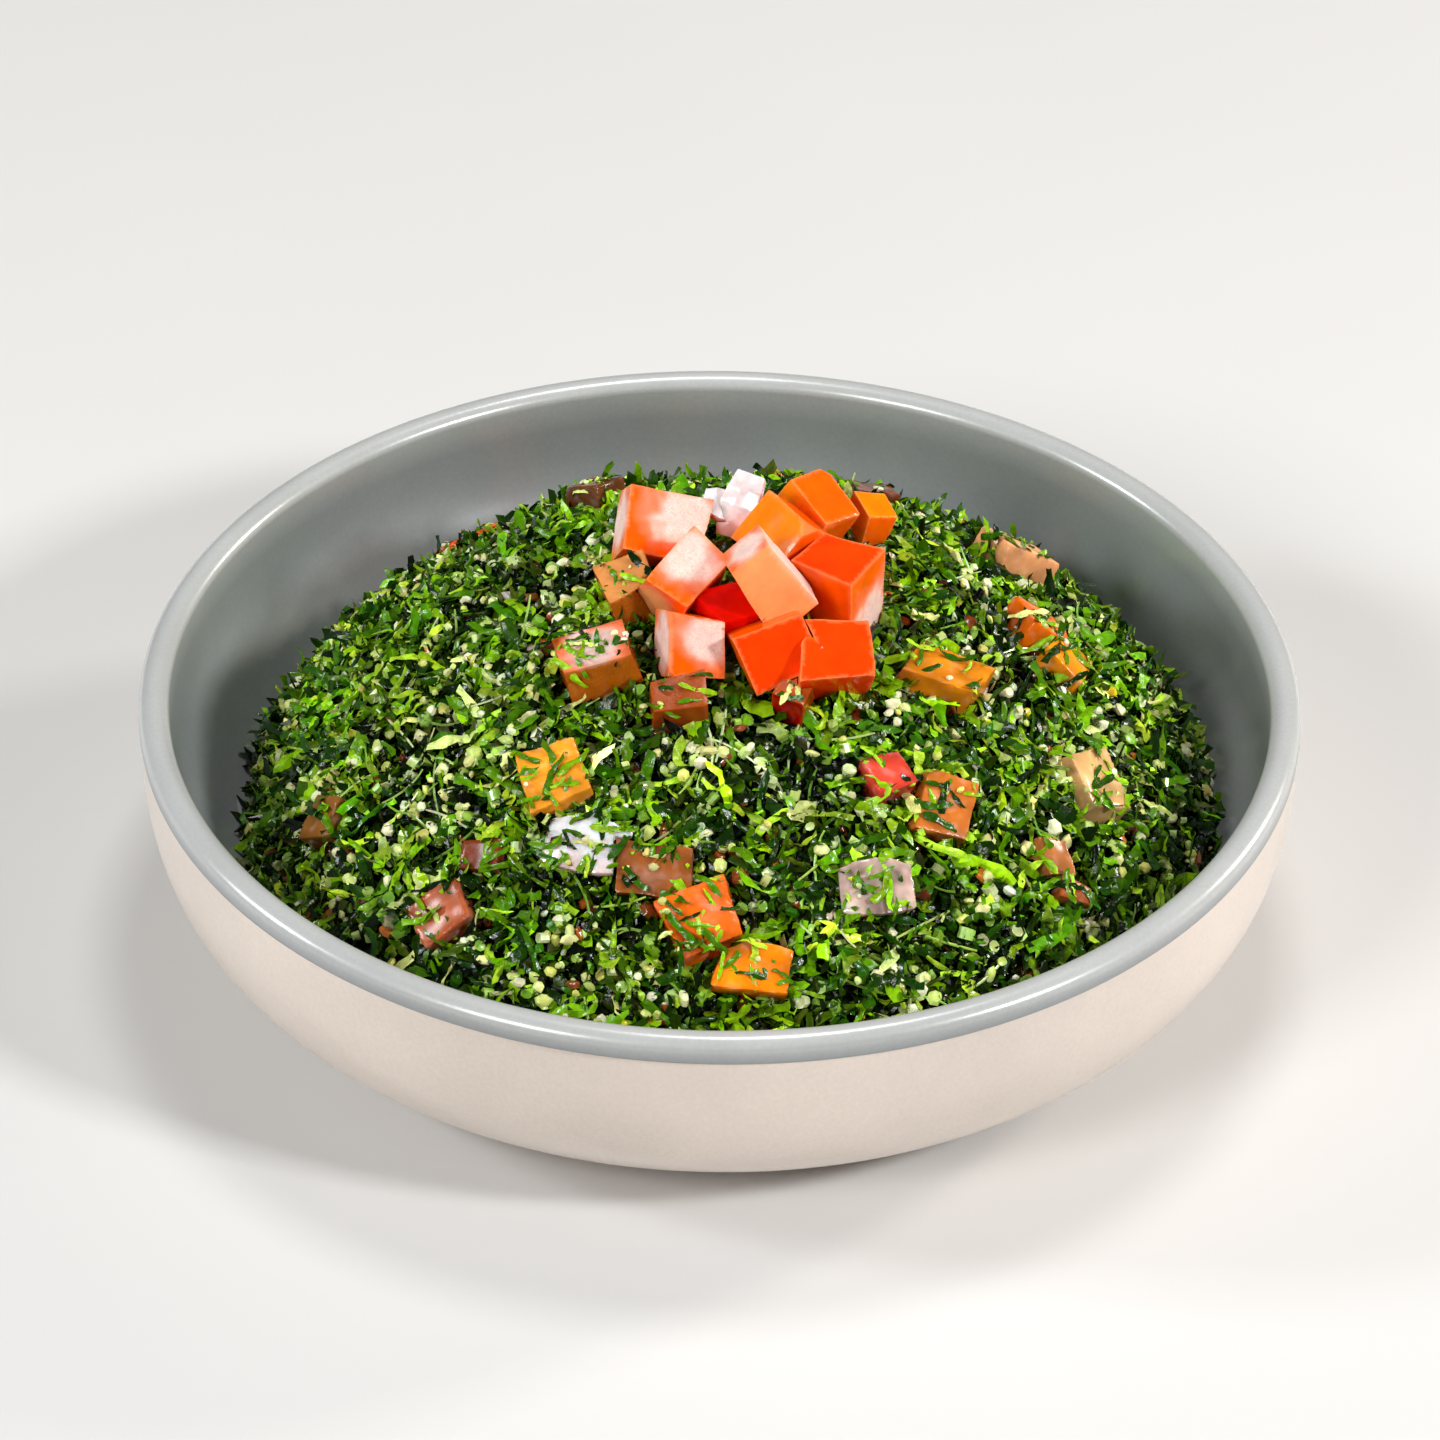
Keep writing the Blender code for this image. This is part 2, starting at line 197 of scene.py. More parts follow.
outer_wall = wall_line(GLAZE_LINE, WALL_BOTTOM, WALL_FOOT, LIP_OUTSIDE - GLAZE_EDGE, 2.9, 26)
profile = [(0, FLOOR_HEIGHT), (FLOOR_INSIDE / 2, FLOOR_HEIGHT), *reversed(inner_wall)]
for step in range(1, 13):
    angle = math.pi * (1 - step / 12)
    profile.append((lip_middle + lip_half * math.cos(angle),
                    LIP_BASE + (LIP_TOP - LIP_BASE) * math.sin(angle)))
profile += [(LIP_OUTSIDE, GLAZE_LINE + 0.6 * MM), (LIP_OUTSIDE - 0.04 * MM, GLAZE_LINE + 0.2 * MM),
            (LIP_OUTSIDE - GLAZE_EDGE, GLAZE_LINE + 0.02 * MM), *outer_wall,
            (FOOT_OUTSIDE + 0.7 * MM, WALL_BOTTOM * 0.75), (FOOT_OUTSIDE + 0.3 * MM, 0.5 * MM),
            (FOOT_OUTSIDE - 0.2 * MM, 0), (FOOT_INSIDE + 0.3 * MM, 0), (FOOT_INSIDE - 0.3 * MM, 0.6 * MM),
            (FOOT_INSIDE - 0.9 * MM, FOOT_RECESS), (0, FOOT_RECESS)]
bowl = turned("stoneware_bowl", profile, BOWL_SEGMENTS)
bpy.ops.object.shade_smooth_by_angle(angle=math.radians(50))

places = corners_of(bowl.data)
radius = np.hypot(places[:, 0], places[:, 1])
on_outside = (radius > wall_radius(places[:, 2]) + 1 * MM) | (places[:, 2] < 4 * MM)
grey = ~on_outside | (places[:, 2] > GLAZE_LINE + 0.01 * MM)
write_mask(bowl.data, "grey_glaze", grey)
write_mask(bowl.data, "bare_clay", places[:, 2] < 1.0 * MM)
# Painted light: the top of the lip is painted paler, for the light it catches from above.
write_mask(bowl.data, "lit_lip_glaze", np.clip((places[:, 2] - 38.8 * MM) / (1.5 * MM), 0, 1))

glaze, tree, links, shader = new_material("glazed_stoneware", 0.36, Specular_IOR_Level=0.8, Coat_Weight=0.3,
                                          Coat_Roughness=0.28)
where = tree.new("ShaderNodeTexCoord").outputs["Object"]
blend = tree.new("ShaderNodeMix")
blend.data_type = "RGBA"
blend.inputs["A"].default_value = (*CREAM_GLAZE, 1)
# Painted light: this mixes the paler lip colour in over the top of the lip.
thin = tree.new("ShaderNodeMix")
thin.data_type = "RGBA"
thin.inputs["A"].default_value = (*GREY_GLAZE, 1)
thin.inputs["B"].default_value = (*LIP_GLAZE_LIT, 1)
lip_mask = tree.new("ShaderNodeAttribute")
lip_mask.attribute_name = "lit_lip_glaze"
links.new(lip_mask.outputs["Fac"], thin.inputs["Factor"])
links.new(thin.outputs["Result"], blend.inputs["B"])
grey_mask = tree.new("ShaderNodeAttribute")
grey_mask.attribute_name = "grey_glaze"
links.new(grey_mask.outputs["Fac"], blend.inputs["Factor"])
wipe = tree.new("ShaderNodeMix")
wipe.data_type = "RGBA"
wipe.inputs["B"].default_value = (*BARE_CLAY, 1)
bare_mask = tree.new("ShaderNodeAttribute")
bare_mask.attribute_name = "bare_clay"
links.new(bare_mask.outputs["Fac"], wipe.inputs["Factor"])
links.new(blend.outputs["Result"], wipe.inputs["A"])
pools = add_mottle(glaze, wipe.outputs["Result"], where, 38.0, 0.05)
grain = add_mottle(glaze, pools.outputs["Color"], where, 1500.0, 0.04, 2.0)
links.new(grain.outputs["Color"], shader.inputs["Base Color"])
matt = tree.new("ShaderNodeMapRange")
matt.inputs["To Min"].default_value = 0.20
matt.inputs["To Max"].default_value = 0.27
links.new(pools.outputs["Height"], matt.inputs["Value"])
links.new(matt.outputs["Result"], shader.inputs["Roughness"])
add_bump(glaze, shader, grain.outputs["Height"], 0.06, 0.2 * MM)
bowl.data.materials.append(glaze)
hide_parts("bowl")
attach(bowl, "root")


# ---------------------------------------------------------------- the heap under the loose salad
# The body of the heap: chopped parsley packed down with bulgur and dressing, too fine to tell
# apart below the top layer. It fills the bowl and reaches just into the wall.

LOOSE_DEPTH = 2.5 * MM              # how deep the loose salad lies on it
CORE_RINGS, CORE_SEGMENTS = 84, 288
CORE_REACH = 70 * MM                # radius of the disc that is pressed into the shape of the heap
TOP_LEVEL, SIDE_LEVEL, BED_LEVEL = 30 * MM, 20 * MM, 10 * MM    # these tell the disc's rings apart
INTO_WALL = 0.5 * MM
# Painted shade: the packed salad of the heap's body is painted near black, for the shade in the gaps between
# the loose leaves on it.
GAP_SHADE_LEAF = (0.004, 0.011, 0.001)

salad = nodes["salad"].data
salad.calc_loop_triangles()
salad_corners = corners_of(salad)
salad_triangles = np.array([tuple(t.vertices) for t in salad.loop_triangles])
salad_tree = BVHTree.FromPolygons([Vector(p) for p in salad_corners], salad_triangles.tolist())


def salad_height(x, y):
    """Height of the salad's top over a point, or None outside it."""
    hit = salad_tree.ray_cast(Vector((x, y, 0.2)), Vector((0, 0, -1)))
    return hit[0].z if hit[0] else None


def settled(x, y):
    """How far the loose salad lies under the heap's outline: most behind the crown and at the sides."""
    behind = np.clip((y - 2 * MM) / (30 * MM), 0, 1)
    beside = np.clip((np.hypot(x, y) - 52 * MM) / (18 * MM), 0, 1) * np.clip((y + 45 * MM) / (30 * MM), 0, 1)
    return (0.8 + 1.9 * np.maximum(behind, beside)) * MM


meets = []                          # where the salad meets the wall, all round: radius and height
for angle in np.arange(CORE_SEGMENTS) * 2 * math.pi / CORE_SEGMENTS:
    for radius in np.arange(79.0, 68.0, -0.2) * MM:
        x, y = math.cos(angle) * radius, math.sin(angle) * radius
        top = salad_height(x, y)
        if top is not None and wall_radius(top - settled(x, y)) >= radius:
            break
    meets.append((radius, top - settled(x, y)))
meets = np.array(meets + meets[:1])

disc = [(ring * CORE_REACH / CORE_RINGS, TOP_LEVEL) for ring in range(CORE_RINGS + 1)]
disc += [(CORE_REACH, SIDE_LEVEL), (CORE_REACH - 10 * MM, BED_LEVEL), (0, BED_LEVEL - 2 * MM)]
core = turned("packed_salad", disc, CORE_SEGMENTS)
places = corners_of(core.data)
angles = np.arctan2(places[:, 1], places[:, 0])
radii = np.hypot(places[:, 0], places[:, 1])
all_round = np.linspace(0, 2 * math.pi, CORE_SEGMENTS + 1)
for number, (angle, radius, height) in enumerate(zip(angles, radii, places[:, 2])):
    edge_radius, edge = (np.interp(angle % (2 * math.pi), all_round, meets[:, i]) for i in (0, 1))
    east, north = math.cos(angle), math.sin(angle)
    if height > (TOP_LEVEL + SIDE_LEVEL) / 2:
        share = (radius / CORE_REACH) ** 0.85
        x, y = east * (edge_radius + INTO_WALL) * share, north * (edge_radius + INTO_WALL) * share
        top = salad_height(x, y)
        top = edge if top is None else top - settled(x, y)
        below = LOOSE_DEPTH * min(1.0, (1 - share) * 14 + 0.25)
        lump = noise.noise(Vector((x, y, 0)) / (2.6 * MM)) + 0.6 * noise.noise(Vector((x, y, 1)) / (1.2 * MM))
        places[number] = (x, y, top - below + 0.9 * MM * lump * min(1.0, (1 - share) * 20))
    elif height > (SIDE_LEVEL + BED_LEVEL) / 2:
        reach = wall_radius(edge * 0.7) + INTO_WALL
        places[number] = (east * reach, north * reach, edge * 0.7)
    elif height > BED_LEVEL - 1 * MM:
        places[number] = (east * 56 * MM, north * 56 * MM, FLOOR_HEIGHT)
    else:
        places[number] = (0, 0, FLOOR_HEIGHT - 0.2 * MM)
core.data.vertices.foreach_set("co", places.ravel().astype(np.float32))
core.data.update()
select_nothing()
core.select_set(True)
bpy.context.view_layer.objects.active = core
bpy.ops.object.shade_smooth()
packed, tree, links, shader = new_material("packed_parsley_in_shade", 0.5)
where = tree.new("ShaderNodeTexCoord").outputs["Object"]
# Painted shade: near black, for the shade between the loose leaves.
fine = add_mottle(packed, GAP_SHADE_LEAF, where, 420.0, 0.9)
links.new(fine.outputs["Color"], shader.inputs["Base Color"])
add_bump(packed, shader, fine.outputs["Height"], 0.9, 0.8 * MM)
core.data.materials.append(packed)
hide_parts("salad")
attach(core, "root")


# ---------------------------------------------------------------- parsley shreds
# Flat-leaf parsley rolled up and sliced into ribbons a millimetre or two wide: crisp flat strips,
# curved, twisted and cut off at a slant, glossy with oil and lemon. They make most of the salad.

dice_names = sorted(name for name in nodes if name.startswith(("tomato", "onion")))
dice_corners, dice_triangles, dice_owner = [], [], []
for name in dice_names:
    mesh = nodes[name].data
    mesh.calc_loop_triangles()
    first = len(dice_corners)
    dice_corners += [v.co.copy() for v in mesh.vertices]
    dice_triangles += [tuple(first + i for i in t.vertices) for t in mesh.loop_triangles]
    dice_owner += [name] * len(mesh.loop_triangles)
dice_tree = BVHTree.FromPolygons(dice_corners, dice_triangles)

luck = np.random.default_rng(41)


def spots_on(corners, triangles, count, least_up=0.1):
    """Random places on the faces that look up, evenly by area, and the way each face looks."""
    a, b, c = (corners[triangles[:, i]] for i in range(3))
    across = np.cross(b - a, c - a)
    size = np.linalg.norm(across, axis=1)
    ways = across / np.maximum(size, 1e-12)[:, None]
    chance = size * (ways[:, 2] > least_up)
    chosen = luck.choice(len(triangles), count, p=chance / chance.sum())
    u, v = luck.random((2, count))
    over = u + v > 1
    u[over], v[over] = 1 - u[over], 1 - v[over]
    spots = a[chosen] + u[:, None] * (b - a)[chosen] + v[:, None] * (c - a)[chosen]
    return spots, ways[chosen]


def salad_spots(count, coarse=None):
    """Places on the top of the salad that are clear of the diced pieces. Coarse is 1 for what lies
    among the long ribbons, 0 for what lies where the salad is finest."""
    spots, ways = spots_on(salad_corners, salad_triangles, int(count * 2.6) + 50)
    spots[:, 2] -= settled(spots[:, 0], spots[:, 1])
    keep = np.hypot(spots[:, 0], spots[:, 1]) < wall_radius(spots[:, 2])
    for number in np.flatnonzero(keep):
        _, _, face, apart = dice_tree.find_nearest(Vector(spots[number]))
        keep[number] = apart > (0.9 if "pile" in dice_owner[face] else 0.3) * MM
    if coarse is not None:
        patch = np.array([noise.noise(Vector(p) / (15 * MM)) for p in spots])
        long = np.clip(0.62 + 1.3 * patch + 4.5 * spots[:, 1], 0.12, 1)
        keep &= luck.random(len(spots)) < (long if coarse else 1.12 - long)
    return spots[keep][:count], ways[keep][:count]


def lying(ways, lean):
    """A frame for each spot: along, across and out, turned at random and leaning by about lean radians."""
    count = len(ways)
    along = np.cross(ways, luck.normal(size=(count, 3)))
    along /= np.linalg.norm(along, axis=1)[:, None]
    across = np.cross(ways, along)
    pitch, roll = luck.normal(0, lean, (2, count, 1))
    along, out = along * np.cos(pitch) + ways * np.sin(pitch), ways * np.cos(pitch) - along * np.sin(pitch)
    across, out = across * np.cos(roll) + out * np.sin(roll), out * np.cos(roll) - across * np.sin(roll)
    return np.stack([along, across, out], axis=2)


def take_shape():
    """The active object's corners and triangles as arrays; the object itself is removed."""
    piece = bpy.context.object
    mesh = piece.data
    mesh.calc_loop_triangles()
    corners = corners_of(mesh)
    triangles = np.array([tuple(t.vertices) for t in mesh.loop_triangles])
    bpy.data.objects.remove(piece)
    return corners, triangles


def joined(name, shapes, spots, frames, sizes, tints):
    """One mesh with one of the shapes at each spot, at random, each in its own tint."""
    kinds = luck.integers(len(shapes), size=len(spots))
    all_corners, all_triangles, all_tints = [], [], []
    first = 0
    for kind, (corners, triangles) in enumerate(shapes):
        mine = np.flatnonzero(kinds == kind)
        scaled = corners[None] * sizes[mine][:, None]
        made = np.einsum("nij,nvj->nvi", frames[mine], scaled) + spots[mine][:, None]
        count, each = made.shape[:2]
        starts = first + each * np.arange(count)
        all_corners.append(made.reshape(-1, 3))
        all_triangles.append((triangles[None] + starts[:, None, None]).reshape(-1, 3))
        all_tints.append(np.repeat(tints[mine], each, axis=0))
        first += count * each
    corners, triangles, tints = (np.concatenate(part) for part in (all_corners, all_triangles, all_tints))
    mesh = bpy.data.meshes.new(name)
    mesh.vertices.add(len(corners))
    mesh.vertices.foreach_set("co", corners.ravel().astype(np.float32))
    mesh.loops.add(len(triangles) * 3)
    mesh.loops.foreach_set("vertex_index", triangles.ravel().astype(np.int32))
    mesh.polygons.add(len(triangles))
    mesh.polygons.foreach_set("loop_start", np.arange(0, len(triangles) * 3, 3, dtype=np.int32))
    mesh.update(calc_edges=True)
    colors = mesh.color_attributes.new("tint", "FLOAT_COLOR", "POINT")
    colors.data.foreach_set("color", np.column_stack([tints, np.ones(len(tints))]).ravel().astype(np.float32))
    piece = bpy.data.objects.new(name, mesh)
    bpy.context.collection.objects.link(piece)
    select_nothing()
    piece.select_set(True)
    bpy.context.view_layer.objects.active = piece
    bpy.ops.object.shade_smooth_by_angle(angle=math.radians(38))
    return piece


def tinted(name, roughness, scale, amount, strength, distance, **sockets):
    """A material that takes its colour from the tint of each scrap, mottled and a little uneven."""
    material, tree, links, shader = new_material(name, roughness, **sockets)
    where = tree.new("ShaderNodeTexCoord").outputs["Object"]
    tint = tree.new("ShaderNodeVertexColor")
    tint.layer_name = "tint"
    mottled = add_mottle(material, tint.outputs["Color"], where, scale, amount)
    links.new(mottled.outputs["Color"], shader.inputs["Base Color"])
    add_bump(material, shader, mottled.outputs["Height"], strength, distance)
    return material


def finish(piece, material):
    piece.data.materials.append(material)
    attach(piece, "root")


def paints(*colors):
    """Colours as seen on a screen, 0 to 255, as the shader takes them."""
    seen = np.array(colors) / 255
    return np.where(seen <= 0.04045, seen / 12.92, ((seen + 0.055) / 1.055) ** 2.4)


def pick(palette, shares, count, stray=0.18):
    """A colour from the palette for each piece, each a little lighter or darker and off in hue."""
    shares = np.array(shares) / sum(shares)
    chosen = palette[luck.choice(len(palette), count, p=shares)]
    tone = luck.normal(1, stray, (count, 1)) * luck.normal(1, stray / 3, (count, 3))
    return np.clip(chosen * np.clip(tone, 0.4, 1.7), 0, 0.92)


def patches(spots):
    """Lighter and darker patches a centimetre or so across, as where a whole sprig was cut up."""
    return np.array([[1 + 0.9 * noise.noise(Vector(p) / (8 * MM))] for p in spots])


def bend(axis, angle, method="BEND"):
    """Bends or twists the active object about one of its axes, for good."""
    shape = bpy.context.object.modifiers.new("bend", "SIMPLE_DEFORM")
    shape.deform_method = method
    shape.deform_axis = axis
    shape.angle = angle
    bpy.ops.object.modifier_apply(modifier=shape.name)


def curl(angle):
    """Curls the active strip up or down along its length: stood on edge, bent and laid back."""
    for turn in (math.pi / 2, -math.pi / 2):
        bpy.ops.object.mode_set(mode="EDIT")
        bpy.ops.mesh.select_all(action="SELECT")
        bpy.ops.transform.rotate(value=turn, orient_axis="X", center_override=(0, 0, 0))
        bpy.ops.object.mode_set(mode="OBJECT")
        if turn > 0:
            bend("Z", angle)


def strip(length, width, thick, steps, slant, taper, fold, ripple=0.0, frill=0.0):
    """A thin strip lying along X, with knife-thin sides and a crease down its middle that stands up by
    fold. Ripple is the height of its waves, frill how much its width comes and goes."""
    select_nothing()
    bpy.ops.mesh.primitive_grid_add(x_subdivisions=steps, y_subdivisions=2, size=1)
    piece = bpy.context.object
    bpy.ops.object.mode_set(mode="EDIT")
    bpy.ops.mesh.select_all(action="SELECT")
    bpy.ops.mesh.extrude_region_move(TRANSFORM_OT_translate={"value": (0, 0, 1)})
    bpy.ops.object.mode_set(mode="OBJECT")
    start = luck.uniform(0, 6)
    for corner in piece.data.vertices:
        x, y, z = corner.co
        end = abs(2 * x)
        narrow = (1 - taper * end ** 2) * (1 + frill * math.sin(start + 11 * x))
        height = (fold + (z - 0.5) * thick) * narrow if abs(y) < 0.1 else 0
        height += ripple * math.sin(2 * start + 13 * x + 2 * y)
        corner.co = ((x + slant * y * end) * length, y * width * narrow, height)
    bpy.ops.object.mode_set(mode="EDIT")
    bpy.ops.mesh.select_all(action="SELECT")
    bpy.ops.mesh.remove_doubles(threshold=1e-6)
    bpy.ops.mesh.normals_make_consistent(inside=False)
    bpy.ops.object.mode_set(mode="OBJECT")
    return piece


long_shreds, short_shreds, buried_shreds = [], [], []
for shapes, number, steps in ((long_shreds, 22, 7), (short_shreds, 12, 4), (buried_shreds, 6, 2)):
    for _ in range(number):
        strip(9.0 * MM, 1.5 * MM, 0.2 * MM, steps, luck.uniform(-0.12, 0.12), luck.choice([0, 0.2, 0.55]),
              luck.uniform(0.1, 0.35) * MM * luck.choice([-1, 1]), 0.28 * MM, 0.22)
        curl(luck.uniform(0.2, 2.0) * luck.choice([-1, 1]))
        bend("Z", luck.uniform(-1.5, 1.5))
        bend("X", luck.uniform(-1.9, 1.9), "TWIST")
        shapes.append(take_shape())

LEAVES = paints((16, 46, 0), (42, 88, 0), (84, 134, 2), (134, 186, 10), (176, 216, 48), (220, 234, 136))
leaf = tinted("wet_parsley_leaf", 0.22, 800.0, 0.4, 0.5, 0.25 * MM, Specular_IOR_Level=0.33)

# Each layer's name, shapes, number, lowest and highest place in millimetres, lean and lightness; the
# lightness is painted shade on the deeper layers and painted light on the top one.
for name, shapes, count, low, high, lean, light in (
        ("parsley_buried", buried_shreds, 3600, -2.4, -1.2, 0.3, 0.05),
        ("parsley_under", short_shreds, 4200, -1.4, -0.2, 0.35, 0.16),
        ("parsley_over", long_shreds, 3200, -0.6, 0.7, 0.34, 0.72),
        ("parsley_top", long_shreds, 3200, -0.4, 1.1, 0.36, 1.08)):
    spots, ways = salad_spots(count, 1 if shapes is long_shreds else None)
    spots = spots + ways * luck.uniform(low, high, (len(spots), 1)) * MM
    sizes = np.column_stack([luck.uniform(0.3, 1.2, len(spots)), luck.uniform(0.5, 1.3, len(spots)) ** 1.3,
                             luck.uniform(0.7, 1.3, len(spots))])
    # Painted shade and light: a layer's leaves are painted darker the deeper it lies, and lighter at the top.
    tints = pick(LEAVES, (17, 22, 25, 20, 11, 6), len(spots), 0.26) * light * patches(spots)
    layer = joined(name, shapes, spots, lying(ways, lean), sizes, tints)
    finish(layer, leaf)

# Some scraps of whole leaf are broader than the ribbons.
leaf_shapes = []
for number in range(8):
    strip(5.5 * MM, 3.2 * MM, 0.2 * MM, 5, luck.uniform(-0.2, 0.2), luck.choice([0.3, 0.6]),
          luck.uniform(0.3, 0.8) * MM * luck.choice([-1, 1]), 0.35 * MM, 0.3)
    curl(luck.uniform(0.3, 1.6) * luck.choice([-1, 1]))
    bend("X", luck.uniform(-1.0, 1.0), "TWIST")
    leaf_shapes.append(take_shape())
spots, ways = salad_spots(400)
sizes = luck.uniform(0.5, 1.1, (len(spots), 1)) * luck.uniform(0.8, 1.2, (len(spots), 3))
depth = luck.uniform(-0.3, 0.8, (len(spots), 1))
scraps = joined("parsley_leaf_scraps", leaf_shapes, spots + ways * depth * MM, lying(ways, 0.3), sizes,
                pick(LEAVES, (10, 20, 30, 24, 10, 3), len(spots), 0.2))
finish(scraps, leaf)

# A few tufts stand up behind the diced pieces, where the heap is highest.
spots, ways = salad_spots(3000)
behind = np.hypot(spots[:, 0] + 7 * MM, (spots[:, 1] - 24 * MM) * 1.6) < 15 * MM
spots, ways = spots[behind][:90], ways[behind][:90]
sizes = np.column_stack([luck.uniform(0.4, 0.9, len(spots)), luck.uniform(0.7, 1.3, len(spots)),
                         np.ones(len(spots))])
rise = luck.uniform(1, 2.4, (len(spots), 1))
# Painted light: the tufts are painted a fifth lighter, for the light on the highest leaves.
tufts = joined("parsley_tufts", long_shreds, spots + ways * rise * MM, lying(ways, 0.7), sizes,
               pick(LEAVES, (10, 22, 30, 24, 10, 4), len(spots), 0.2) * 1.2)
finish(tufts, leaf)


# ---------------------------------------------------------------- parsley crumbs
# The finest of the chopped leaf: scraps one to three millimetres across, cut off the ribbons by the
# last strokes of the knife. They curl as they dry and sift down between the ribbons.

crumb_shapes = []
for number in range(12):
    strip(2.4 * MM, luck.uniform(0.9, 1.5) * MM, 0.24 * MM, 2, luck.uniform(-0.3, 0.3),
          luck.choice([0.1, 0.5, 0.8]), luck.uniform(0.1, 0.45) * MM * luck.choice([-1, 1]))
    curl(luck.uniform(0.8, 3.0) * luck.choice([-1, 1]))
    bend("X", luck.uniform(-1.2, 1.2), "TWIST")
    crumb_shapes.append(take_shape())
spots, ways = salad_spots(8200, 0)
depth = luck.uniform(-1.2, 1.0, (len(spots), 1))
sizes = luck.uniform(0.4, 1.15, (len(spots), 1)) * luck.uniform(0.8, 1.2, (len(spots), 3))
# Painted shade: the deeper a crumb lies, the darker it is painted.
tints = pick(LEAVES, (24, 28, 26, 13, 6, 3), len(spots), 0.28) * np.clip(0.55 + 0.6 * depth, 0.03, 1.1)
tints *= patches(spots)
crumbs = joined("parsley_crumbs", crumb_shapes, spots + ways * depth * MM, lying(ways, 0.8), sizes, tints)
finish(crumbs, leaf)


# ---------------------------------------------------------------- parsley stalks
# Thin stalks chopped across into short juicy drums, pale green with a lighter pith in the middle,
# and now and then a longer thread that the knife has missed.

STALKS = paints((158, 196, 84), (194, 216, 128), (216, 228, 164), (128, 174, 56))
stalk_shapes = []
for number in range(5):
    select_nothing()
    bpy.ops.mesh.primitive_cylinder_add(vertices=8, radius=1.0 * MM, depth=1.5 * MM, end_fill_type="NGON")
    piece = bpy.context.object
    bpy.ops.object.mode_set(mode="EDIT")
    bpy.ops.mesh.select_mode(type="FACE")
    bpy.ops.mesh.select_all(action="DESELECT")
    bpy.ops.object.mode_set(mode="OBJECT")
    for face in piece.data.polygons:    # the two cut ends, where the pith has sunk in
        face.select = abs(face.normal.z) > 0.9
    bpy.ops.object.mode_set(mode="EDIT")
    bpy.ops.mesh.inset(thickness=0.32 * MM, depth=-0.14 * MM, use_individual=True)
    bpy.ops.mesh.select_mode(type="VERT")
    bpy.ops.object.mode_set(mode="OBJECT")
    squeeze, cut = luck.uniform(0.7, 1.0), luck.uniform(-0.35, 0.35)
    for corner in piece.data.vertices:
        x, y, z = corner.co
        corner.co = (x, y * squeeze, z + cut * x * (z > 0))
    bend("X", luck.uniform(-0.5, 0.5))
    stalk_shapes.append(take_shape())
pith = tinted("chopped_stalk", 0.3, 1100.0, 0.22, 0.4, 0.2 * MM, Subsurface_Weight=0.25,
              Subsurface_Scale=1.2 * MM, Coat_Weight=0.4, Coat_Roughness=0.1)
spots, ways = salad_spots(1050)
depth = luck.uniform(-0.5, 0.6, (len(spots), 1))
sizes = luck.uniform(0.65, 1.15, (len(spots), 1)) * luck.uniform(0.85, 1.15, (len(spots), 3))
stalks = joined("parsley_stalks", stalk_shapes, spots + ways * depth * MM, lying(ways, 0.7), sizes,
                pick(STALKS, (3, 4, 2, 3), len(spots)))
finish(stalks, pith)

thread_shapes = []
for number in range(5):
    strip(12 * MM, 0.42 * MM, 0.36 * MM, 8, 0, 0.3, 0)
    bend("Z", luck.uniform(-1.8, 1.8))
    curl(luck.uniform(-1.0, 1.0))
    thread_shapes.append(take_shape())
spots, ways = salad_spots(260)
sizes = np.column_stack([luck.uniform(0.5, 1.2, len(spots)), np.ones(len(spots)),
                         luck.uniform(0.8, 1.1, len(spots))])
threads = joined("parsley_threads", thread_shapes, spots + ways * 0.25 * MM, lying(ways, 0.12), sizes,
                 pick(STALKS, (4, 3, 2, 4), len(spots)))
finish(threads, pith)


# ---------------------------------------------------------------- bulgur
# Cracked and soaked wheat: flattish rounded grains about two millimetres across, cream to white,
# soft and a little clear at the edge. They lie in loose clusters among the leaves.

WHEAT = paints((228, 230, 150), (242, 242, 196), (218, 216, 112), (196, 214, 112))
grain_shapes = []
for number in range(7):
    select_nothing()
    bpy.ops.mesh.primitive_uv_sphere_add(segments=7, ring_count=4, radius=1.0 * MM)
    bpy.ops.object.mode_set(mode="EDIT")
    bpy.ops.mesh.select_all(action="SELECT")
    bpy.ops.transform.resize(value=(luck.uniform(0.85, 1.15), luck.uniform(0.75, 1.0),
                                    luck.uniform(0.45, 0.65)))
    bpy.ops.object.mode_set(mode="OBJECT")
    push = Vector(luck.uniform(-9, 9, 3))
    for corner in bpy.context.object.data.vertices:
        corner.co *= 1 + 0.26 * noise.noise(corner.co / (0.8 * MM) + push)
    grain_shapes.append(take_shape())
wheat = tinted("soaked_bulgur", 0.4, 800.0, 0.16, 0.4, 0.2 * MM, Subsurface_Weight=0.3,
               Subsurface_Scale=1.0 * MM, Coat_Weight=0.15, Coat_Roughness=0.15)
spots, ways = salad_spots(6800)
drift = np.array([noise.noise(Vector(p) / (9 * MM)) for p in spots])
spots, ways = spots[drift > 0.02], ways[drift > 0.02]
spots, ways = spots[:1350], ways[:1350]
depth = luck.uniform(-0.5, 1.0, (len(spots), 1))
sizes = luck.uniform(0.65, 1.35, (len(spots), 1)) * luck.uniform(0.85, 1.15, (len(spots), 3))
grains = joined("bulgur_grains", grain_shapes, spots + ways * depth * MM, lying(ways, 0.5), sizes,
                pick(WHEAT, (4, 4, 2, 2), len(spots), 0.1))
finish(grains, wheat)


# ---------------------------------------------------------------- small bits
# What comes off the vegetables as they are diced: scraps of tomato flesh and seed jelly, brown-red
# and half clear, shavings of onion, and a few bits of yellow from the ripest tomato.

